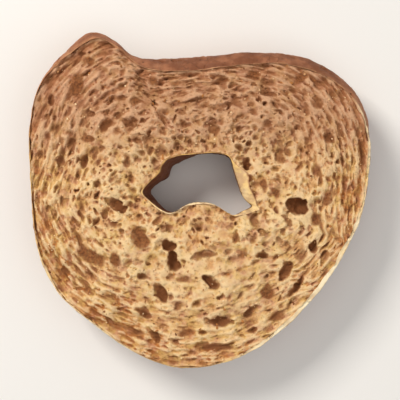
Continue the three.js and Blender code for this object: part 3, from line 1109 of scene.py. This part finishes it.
@dataclass
class RingGrid:
    """A closed surface made of sections that are joined all the way round."""

    x: Array
    y: Array
    z: Array
    marks: dict[str, Array]

    def points(self) -> Array:
        """Returns the points in millimetres, as rows by directions by 3."""
        return np.stack([self.x, self.y, self.z], axis=2)

    def normals(self) -> Array:
        """Returns the outward direction at each point, shaped like the points."""
        points = self.points()
        out = np.cross(*(np.roll(points, -1, axis) - np.roll(points, 1, axis) for axis in (0, 1)))
        return out / np.maximum(np.linalg.norm(out, axis=2, keepdims=True), 1e-9)

    def build(self, name: str, into: Array, rope: Array) -> Piece:
        """Makes the surface a Blender object.

        Args:
            name: the piece's name.
            into: the way into the piece at each point.
            rope: the coordinates that bubbles are spread in, in millimetres.

        Returns:
            The object, with its marks as attributes.
        """
        rows, count = self.x.shape
        row, column = np.indices((rows, count)).reshape(2, -1)
        down, right = (row + 1) % rows, (column + 1) % count
        quads = np.stack([row * count + column, down * count + column,
                          down * count + right, row * count + right], axis=1)
        mesh = bpy.data.meshes.new(name)
        mesh.vertices.add(rows * count)
        mesh.loops.add(quads.size)
        mesh.polygons.add(len(quads))
        fill(mesh.vertices, "co", self.points() * MM)
        fill(mesh.loops, "vertex_index", quads, np.int32)
        fill(mesh.polygons, "loop_start", np.arange(0, quads.size, 4), np.int32)
        mesh.update(calc_edges=True)
        mesh.shade_smooth()
        for title, value in self.marks.items():
            mark = mesh.attributes.new(title, "FLOAT", "POINT")
            fill(mark.data, "value", np.broadcast_to(value, self.x.shape))
        for title, value in (("into", into), ("rope", rope * MM)):
            fill(mesh.attributes.new(title, "FLOAT_VECTOR", "POINT").data, "vector", value)
        return stand(name, mesh)


def points_of(piece: Piece) -> Array:
    """Returns a piece's points in metres, as rows of 3."""
    points = np.empty(len(piece.data.vertices) * 3, np.float32)
    piece.data.vertices.foreach_get("co", points)
    return points.reshape(-1, 3)


def add_tree(piece: Piece, tree: Tree, material: Material, **values: float) -> None:
    """Puts a geometry tree on a piece with a material and its other named inputs."""
    modifier = piece.modifiers.new(tree.name, "NODES")
    modifier.node_group = tree
    inputs = titled(values) | {"Material": material}
    for socket in tree.interface.items_tree:
        if socket.in_out == "INPUT" and socket.name in inputs:
            modifier[socket.identifier] = inputs[socket.name]


def settle(piece: Piece) -> None:
    """Makes the evaluated piece a plain mesh and takes its modifiers off."""
    depsgraph = bpy.context.evaluated_depsgraph_get()
    mesh = bpy.data.meshes.new_from_object(
        piece.evaluated_get(depsgraph), preserve_all_data_layers=True, depsgraph=depsgraph)
    worn = piece.data
    piece.modifiers.clear()
    piece.data = mesh
    bpy.data.meshes.remove(worn)
    mesh.name = piece.name


def thin_out(piece: Piece, triangles: int) -> None:
    """Brings a piece down to a number of triangles, most of them where its shape needs them."""
    piece.data.calc_loop_triangles()
    decimate = piece.modifiers.new("Thin", "DECIMATE")
    decimate.ratio = min(1.0, triangles / len(piece.data.loop_triangles))
    decimate.use_collapse_triangulate = True
    settle(piece)


def dress(piece: Piece) -> Piece:
    """Holds a finished piece inside the solid's box, ties it to the frame and returns it."""
    low, high = (np.array(corner) for corner in CAD_BOX)
    fill(piece.data.vertices, "co", np.clip(points_of(piece), low, high))
    piece.data.update()
    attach(piece, BODY)
    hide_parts(NODE)
    mesh = piece.data
    log.info("%s: %d points, %d faces", piece.name, len(mesh.vertices), len(mesh.polygons))
    return piece


@dataclass
class Crumb:
    """The torn crumb: a slab with a porous top, tucked into the crust's trough."""

    form: RingForm
    lips: Lips
    relief: CrumbRelief
    around: int = 1200
    across: int = 165
    tuck: float = 0.2
    below_lip: float = 0.22
    lip_reach: float = 1.3
    slab: float = 7.2
    side_rows: int = 3
    tear: float = 0.22
    pressed: float = 1.0
    dense: float = 0.35
    skinned: float = 0.6
    hollow_depth: float = 1.9
    crest_sizes: Pair = (0.8, 2.4)
    crest_height: float = 0.46
    triangles: int = 190_000

    @staticmethod
    def palest(x: Array, y: Array) -> Array:
        """Returns 1 in the palest and densest part of the face, easing to 0 away from it."""
        return spot(x, y, (9, -24), 16.0)

    def toast(self, x: Array, y: Array, share: Array) -> Array:
        """Finds how toasted the crumb is.

        Args:
            x: places from left to right, in millimetres.
            y: places from near to far.
            share: how far each place is across the rope, from the hole to the rim.

        Returns:
            Values from about 0, pale, to 1, brown.
        """
        rim = smooth_step(0.68, 1.0, share)
        near = smooth_step(0.0, -30.0, y)
        far_side = smooth_step(24.0, 50.0, y)
        left_side = smooth_step(-22.0, -52.0, x) * smooth_step(-24.0, 6.0, y)
        right_side = smooth_step(34.0, 52.0, x)
        near_left = smooth_step(26.0, 46.0, -0.5 * x - 0.87 * y)
        lobe, shoulder = spot(x, y, (-38, 45), 11.0), spot(x, y, (42, 38), 12.0)
        blotches = 0.12 * Bumps(12.0, 31).at(x, y)
        return (0.34 + (0.32 - 0.12 * near) * rim + 0.22 * far_side + 0.16 * left_side
                + 0.1 * right_side + 0.5 * lobe + 0.2 * shoulder + 0.24 * near_left
                - 0.16 * self.palest(x, y) + blotches)

    def grid(self) -> RingGrid:
        """Returns the slab's surface, with its medium and larger pores."""
        form, lips = self.form, self.lips
        angle = directions(self.around)
        start = form.hole.reach(angle) + lips.hole.width(angle) - self.tuck
        end = form.rim.reach(angle) - lips.inset(angle) - lips.rim.width(angle) + self.tuck
        reach = start + (end - start) * np.linspace(0.0, 1.0, self.across)[:, None]
        x, y = form.place(angle, reach)
        depth, skin = self.relief.at(x, y)
        near_lip = np.exp(-(np.minimum(reach - start, end - reach) / self.lip_reach) ** 2)
        # The face: it sinks under the crust's lips and is torn between its pores.
        height = form.crumb_height(x, y)
        height += (form.edge_height(x, y) - self.below_lip - height) * near_lip
        torn = self.tear * (Bumps(2.3, 41, octaves=3).at(x, y) + 0.7 * Bumps(5.0, 47).at(x, y))
        z = height - depth + torn * (1.0 - self.skinned * skin)
        # The slab's outer side, underside and inner side.
        floor = form.thickness - self.slab
        sink = np.linspace(0.0, 1.0, self.side_rows + 1)[1:, None]
        outer = z[-1] + (floor - z[-1]) * sink
        inner = (z[0] + (floor - z[0]) * sink)[::-1]
        back = end + (start - end) * np.linspace(0.0, 1.0, self.side_rows + 2)[1:-1, None]
        hidden = ((0, 3 * self.side_rows), (0, 0))
        reach = np.vstack([reach, np.tile(end, (self.side_rows, 1)), back,
                           np.tile(start, (self.side_rows, 1))])
        z = np.vstack([z, outer, np.full_like(back, floor), inner])
        exposed = (1.0 - self.skinned * skin) * (1.0 - self.dense * self.palest(x, y))
        x, y = form.place(angle, reach)
        spread = np.clip((reach - start) / (end - start), 0.0, 1.0)
        return RingGrid(x, y, z, {
            "exposed": np.pad(exposed, hidden), "bubble": np.pad(skin, hidden),
            "wrinkled": 0.25 + 0.95 * smooth_step(0.4, 0.85, spread), "crest": np.zeros_like(z),
            "hollow": np.pad(np.clip(depth / self.hollow_depth, 0.0, 1.0), hidden),
            "toast": self.toast(x, y, spread), "strewn": np.pad(1.0 - skin, hidden)})

    def rope(self, grid: RingGrid) -> Array:
        """Finds the coordinates that bubbles and strings are spread in.

        They are stretched along the rope and squeezed across it towards the rim, where the dough
        was pressed.

        Args:
            grid: the slab's surface.

        Returns:
            Rows by directions by 3, in millimetres.
        """
        across, up = grid.x - self.form.centre[0], grid.y - self.form.centre[1]
        reach, angle = np.hypot(across, up), np.arctan2(up, across)
        start, end = self.form.crumb_span(angle)
        squeeze = 1.0 + self.pressed * smooth_step(0.15, 1.0, (reach - start) / (end - start))
        flat = reach / squeeze
        step = np.diff(reach, axis=0, prepend=reach[:1]) * np.sqrt(squeeze)
        along = np.diff(flat, axis=0, prepend=flat[:1])
        rise = np.cumsum(np.sqrt(np.maximum(step ** 2 - along ** 2, 0.0)), axis=0)
        return np.stack([flat * np.cos(angle), flat * np.sin(angle), rise], axis=2)

    def blurred(self, height: Array, reach: Array, size: float) -> Array:
        """Smooths the face's heights.

        Args:
            height: the heights, as rows by directions.
            reach: each point's distance from the centre.
            size: how far the smoothing spreads, in millimetres.

        Returns:
            The smoothed heights.
        """
        waves = np.arange(self.around // 2 + 1)
        turn = size / reach.mean(axis=1, keepdims=True)
        smooth = np.fft.rfft(height, axis=1) * np.exp(-0.5 * (waves * turn) ** 2)
        smooth = np.fft.irfft(smooth, self.around, axis=1)
        gap = float((reach[-1] - reach[0]).mean()) / (self.across - 1)
        rows = np.arange(self.across)
        weights = np.exp(-0.5 * ((rows[:, None] - rows) * gap / size) ** 2)
        return weights / weights.sum(axis=1, keepdims=True) @ smooth

    def mark_crests(self, piece: Piece) -> None:
        """Marks the face's crests, above 0, and hollows, below it, from its finished heights."""
        points = points_of(piece).astype(float).reshape(-1, self.around, 3)[:self.across] / MM
        x, y, height = np.moveaxis(points, 2, 0)
        reach = np.hypot(x - self.form.centre[0], y - self.form.centre[1])
        crest = sum(height - self.blurred(height, reach, size) for size in self.crest_sizes)
        crest *= 1.0 - self.dense * self.palest(x, y)
        crest = np.clip(crest / (2.0 * self.crest_height), -1.0, 1.0).ravel()
        below = len(piece.data.vertices) - crest.size
        fill(piece.data.attributes["crest"].data, "value", np.pad(crest, (0, below)))

    def build(self, skin: Tree, foam: Tree, material: Material) -> Piece:
        """Returns the finished crumb."""
        grid = self.grid()
        down = np.zeros(grid.x.shape + (3,))
        down[..., 2] = -1.0
        piece = grid.build("torn_crumb", down, self.rope(grid))
        add_tree(piece, skin, material, lump_size=6.0 * MM, lump_height=0.5 * MM,
                 wrinkle_size=3.6 * MM, wrinkle_height=0.75 * MM, wrinkle_stretch=2.2, seed=4.0)
        for cell, share, depth, softness, seed in (
                (4.6, 0.4, 0.4, 1.0, 3.0), (2.5, 0.8, 0.6, 0.85, 8.0), (1.35, 0.6, 0.85, 0.45, 5.0)):
            add_tree(piece, foam, material, cell_size=cell * MM, open_share=share, depth=depth,
                     softness=softness, warp=1.1, seed=seed)
        settle(piece)
        self.mark_crests(piece)
        thin_out(piece, self.triangles)
        return dress(piece)


@dataclass
class Crust:
    """The baked crust: outer wall, base and the hole's wall, with a trough in its top."""

    form: RingForm
    lips: Lips
    around: int = 900
    row_height: float = 0.45
    base_row: float = 1.1
    trough: float = 7.0
    trough_step: float = 0.34
    base_width: float = 25.0
    corner_share: float = 0.6
    lip_rows: int = 6
    lip_drop: float = 0.3
    lip_worn: float = 0.15
    lip_bend: float = 0.6
    lip_bent_over: float = 0.45
    lip_shown: float = 0.5
    chip_length: float = 1.9
    chipping: float = 0.34
    band_slope: float = 1.6
    cut_reach: float = 1.5
    rope_height: float = 1.4
    triangles: int = 186_000

    def rows(self, length: float, step: float) -> Array:
        """Returns shares from 0 to 1 for rows about a step apart, without the last."""
        return np.linspace(0.0, 1.0, max(2, round(length / step)), endpoint=False)[:, None]

    def grid(self) -> RingGrid:
        """Returns the crust's surface, from the cut edge out, down, under, up the hole and in."""
        form, lips = self.form, self.lips
        angle = directions(self.around)
        inner, outer = form.hole.reach(angle), form.rim.reach(angle)
        set_in = lips.inset(angle)
        edge = outer - set_in
        rim_lip, hole_lip = lips.rim.width(angle), lips.hole.width(angle)
        widest, floor = form.thickness * form.widest_at, form.thickness - self.trough
        bank = self.band_slope * lips.hole_face.share(angle)
        sections = []

        def chipped(reach: Array, seed: int) -> Array:
            """Returns the height of the cut edge."""
            x, y = form.place(angle, reach)
            chips = Bumps(self.chip_length, seed, octaves=3).at(x, y)
            return form.edge_height(x, y) + self.chipping * chips - self.lip_worn

        def add(reach: Array, z: Array, exposed: float = 1.0, cut: float = 0.0) -> None:
            """Adds rows of points."""
            shape = np.broadcast(reach, z, angle[None]).shape
            sections.append([np.broadcast_to(value, shape) for value in (reach, z, exposed, cut)])

        rim_top, hole_top = chipped(edge, 62), chipped(inner, 63)
        # The rim's lip, rounded over, and the outer wall down to the base.
        lip = self.rows(1.0, 1.0 / self.lip_rows)
        side = self.rows(form.thickness - widest, self.row_height)
        down = self.rows(1.0, self.trough_step)
        bent = np.clip((lip - self.lip_bend) / self.lip_bent_over, 0, 1)
        round_off = self.lip_drop * (1.0 - np.sqrt(np.maximum(0.0, 1.0 - bent ** 2)))
        add(edge - rim_lip * (1.0 - lip), rim_top - round_off, self.lip_shown, 1.0)
        add(outer - set_in * (1.0 - side) ** 2,
            rim_top - self.lip_drop + (widest - rim_top + self.lip_drop) * side)
        share = self.rows(widest + form.outer_corner * self.corner_share, self.row_height)
        inset, z = form.corner(share, form.outer_corner)
        add(outer - inset, z)
        # The base, from the rim to the hole.
        far = outer - form.outer_corner
        near = inner - form.lean(angle, 0.0) + form.hole_corner
        add(far + (near - far) * self.rows(self.base_width, self.base_row), 0.0)
        # The hole's wall, up to its lip.
        share = 1.0 - self.rows(widest + form.hole_corner * self.corner_share, self.row_height)
        inset, z = form.corner(share, form.hole_corner)
        add(inner - form.lean(angle, z) + inset, z)
        z = widest + (hole_top - (self.lip_drop + bank) - widest) * side
        add(inner - form.lean(angle, z), z)
        add(inner + hole_lip * lip, hole_top - round_off[::-1] - bank * (1.0 - lip) ** 2,
            self.lip_shown, 1.0)
        # The trough for the crumb.
        start, end = inner + hole_lip, edge - rim_lip
        add(start, hole_top + (floor - hole_top) * down, 0.0)
        add(start + (end - start) * down, floor, 0.0)
        add(end, floor + (rim_top - floor) * down, 0.0)

        reach, z, exposed, cut = (np.vstack(rows) for rows in zip(*sections))
        x, y = form.place(angle, reach)
        at_rim = reach > (inner + outer) / 2
        steep = 1.0 - form.shoulder_at(angle)
        below = np.where(at_rim, rim_top, hole_top) - z
        wall = exposed > self.lip_shown
        cut = np.maximum(cut, smooth_step(self.cut_reach, 0.4, below) * wall * steep)
        pale = np.where(at_rim, lips.rim.paleness(angle), lips.hole.paleness(angle))
        pale = np.clip(pale * (0.8 + 0.5 * Bumps(2.4, 72, octaves=2).at(x, y)), 0.0, 1.0)
        # The hole's wall is painted darker: partly browner crust, partly painted shade in the hole.
        hole_wall_shade = smooth_step(1.5, -0.5, reach - inner) * (1.0 - cut)
        return RingGrid(x, y, z, {
            "exposed": exposed, "hollow": np.zeros_like(z), "wrinkled": np.ones_like(z),
            "toast": self.toast(x, y, z) + 0.55 * hole_wall_shade, "cut": cut, "paleness": pale,
            "strewn": wall.astype(float)})

    def toast(self, x: Array, y: Array, z: Array) -> Array:
        """Returns how browned the crust is, most at the base and in patches on the sides."""
        base = smooth_step(6.0, 0.0, z)
        upper = smooth_step(10.0, 20.0, z)
        angle = np.arctan2(y - self.form.centre[1], x - self.form.centre[0])
        shoulder = 0.3 * self.form.shoulder_at(angle) * upper
        return 0.46 + 0.3 * base + 0.12 * upper + shoulder + 0.16 * Bumps(17.0, 71).at(x, y + z)

    def build(self, skin: Tree, foam: Tree, material: Material) -> Piece:
        """Returns the finished crust."""
        grid = self.grid()
        rope = np.stack([grid.x, grid.y, grid.z * self.rope_height], axis=2)
        piece = grid.build("baked_crust", -grid.normals(), rope)
        add_tree(piece, skin, material, lump_size=9.0 * MM, lump_height=0.55 * MM,
                 wrinkle_size=2.4 * MM, wrinkle_height=0.22 * MM, wrinkle_stretch=1.9, seed=1.0)
        add_tree(piece, foam, material, cell_size=2.3 * MM, open_share=0.1, depth=0.5, softness=0.3,
                 warp=0.5, seed=5.0)
        settle(piece)
        thin_out(piece, self.triangles)
        return dress(piece)


class Chip(Enum):
    """The kinds of small chips that are strewn over the ring."""

    BRAN = "bran_flecks"
    CRUMBS = "loose_crumbs"


@dataclass
class Strewn:
    """One kind of chip, strewn over a piece and half sunk in it."""

    kind: Chip
    host: Piece
    per_square_metre: float
    smallest: float
    largest: float
    slenderness: float
    flatness: float
    seed: int

    def build(self, tree: Tree, material: Material, suffix: str = "") -> Piece:
        """Strews the chips.

        Args:
            tree: the strewing tree.
            material: the chips' material.
            suffix: what to add to the piece's name.

        Returns:
            The chips, joined as one piece.
        """
        mesh = self.host.data.copy()
        mesh.materials.clear()
        piece = stand(self.kind.value + suffix, mesh)
        add_tree(piece, tree, material, density=self.per_square_metre, smallest=self.smallest * MM,
                 largest=self.largest * MM, slenderness=self.slenderness, flatness=self.flatness,
                 seed=self.seed)
        settle(piece)
        return dress(piece)


# --- Studio ---

@dataclass
class Studio:
    """A pale floor, soft lights and a camera that looks straight down on the cut face.

    Each light is a square that faces the ring: its name, place, size, power and colour.
    """

    floor_size: float = 3.0
    lens: float = 100.0
    sensor: float = 36.0
    share_of_frame: float = 0.87
    floor: Colour = paint(236, 233, 228)
    sky: Colour = (1.0, 0.99, 0.975, 1.0)
    sky_strength: float = 0.3
    lights: tuple[tuple, ...] = (
        ("key", (-0.42, 0.40, 0.62), 0.28, 5.3, (1.0, 0.965, 0.92)),
        ("fill", (0.55, -0.25, 0.60), 0.9, 1.6, (0.95, 0.975, 1.0)),
        ("top", (0.0, -0.1, 0.95), 0.8, 2.0, (1.0, 1.0, 1.0)))

    def build(self, ring_width: float, ring_top: float) -> None:
        """Sets up the studio for a ring of a width and a height, in metres."""
        scene = bpy.context.scene
        scene.view_settings.view_transform = "Standard"
        self._lay_floor()
        for light in self.lights:
            self._hang(*light)
        scene.world = bpy.data.worlds.new("studio")
        scene.world.use_nodes = True
        inputs = scene.world.node_tree.nodes["Background"].inputs
        inputs["Color"].default_value, inputs["Strength"].default_value = self.sky, self.sky_strength
        camera = bpy.data.cameras.new("camera")
        camera.lens, camera.sensor_width = self.lens, self.sensor
        camera.clip_start, camera.clip_end = 0.01, 10.0
        scene.camera = stand("camera", camera)
        distance = ring_width / self.share_of_frame / self.sensor * self.lens
        scene.camera.location = (0.0, 0.0, ring_top + distance)

    def _lay_floor(self) -> None:
        """Lays the floor under the ring."""
        half = self.floor_size / 2
        mesh = bpy.data.meshes.new("floor")
        mesh.from_pydata([(-half, -half, 0), (half, -half, 0), (half, half, 0), (-half, half, 0)],
                         [], [(0, 1, 2, 3)])
        material, net = new_material("pale_floor")
        close_material(net, self.floor, net.ease(net.noise(net.place(), 6.0), 0.3, 0.7, 0.66, 0.74))
        mesh.materials.append(material)
        stand("floor", mesh)

    @staticmethod
    def _hang(name: str, place: tuple, size: float, power: float, colour: tuple) -> None:
        """Hangs one light."""
        light = bpy.data.lights.new(name, "AREA")
        light.size, light.energy, light.color = size, power, colour
        hung = stand(name, light)
        hung.location = place
        hung.rotation_euler = Vector(place).to_track_quat("Z", "Y").to_euler()


def main() -> None:
    """Builds the ring's pieces and the studio."""
    logging.basicConfig(level=logging.INFO, format="%(name)s: %(message)s")
    form, relief = RingForm(), CrumbRelief()
    lips = Lips(form)
    relief.open_main(form, PoreRules(), seed=7)
    relief.strew(form, PoreClass(420, (2.2, 3.6), (0.25, 0.6), (0.2, 1.0), margin=0.3, seed=101))
    relief.strew(form, PoreClass(900, (1.1, 2.0), (0.5, 1.1), (0.0, 0.4), margin=0.25, seed=102))
    log.info("relief: %d places under the face", int((relief.depth > 0).sum()))

    groups = DoughGroups(toasting_group(), grain_group())
    foam, skin, strewing = foam_tree(), skin_tree(), strewing_tree()
    crumb = Crumb(form, lips, relief).build(skin, foam, CrumbFinish().build(groups))
    crust = Crust(form, lips).build(skin, foam, CrustFinish().build(groups))
    bran = ChipFinish("bran", paint(196, 130, 70), paint(112, 62, 30)).build(groups)
    crumbs = ChipFinish("toasted_granules", paint(250, 220, 172), paint(206, 152, 98)).build(groups)
    Strewn(Chip.BRAN, crumb, 32000.0, 0.4, 1.5, 0.6, 0.22, 11).build(strewing, bran)
    Strewn(Chip.BRAN, crust, 9000.0, 0.4, 1.4, 0.6, 0.18, 12).build(strewing, bran, "_crust")
    Strewn(Chip.CRUMBS, crumb, 40000.0, 0.25, 0.8, 0.8, 0.7, 13).build(strewing, crumbs)

    width = max(CAD_BOX[1].x - CAD_BOX[0].x, CAD_BOX[1].y - CAD_BOX[0].y)
    Studio().build(width, form.thickness * MM)


if __name__ == "__main__":
    main()
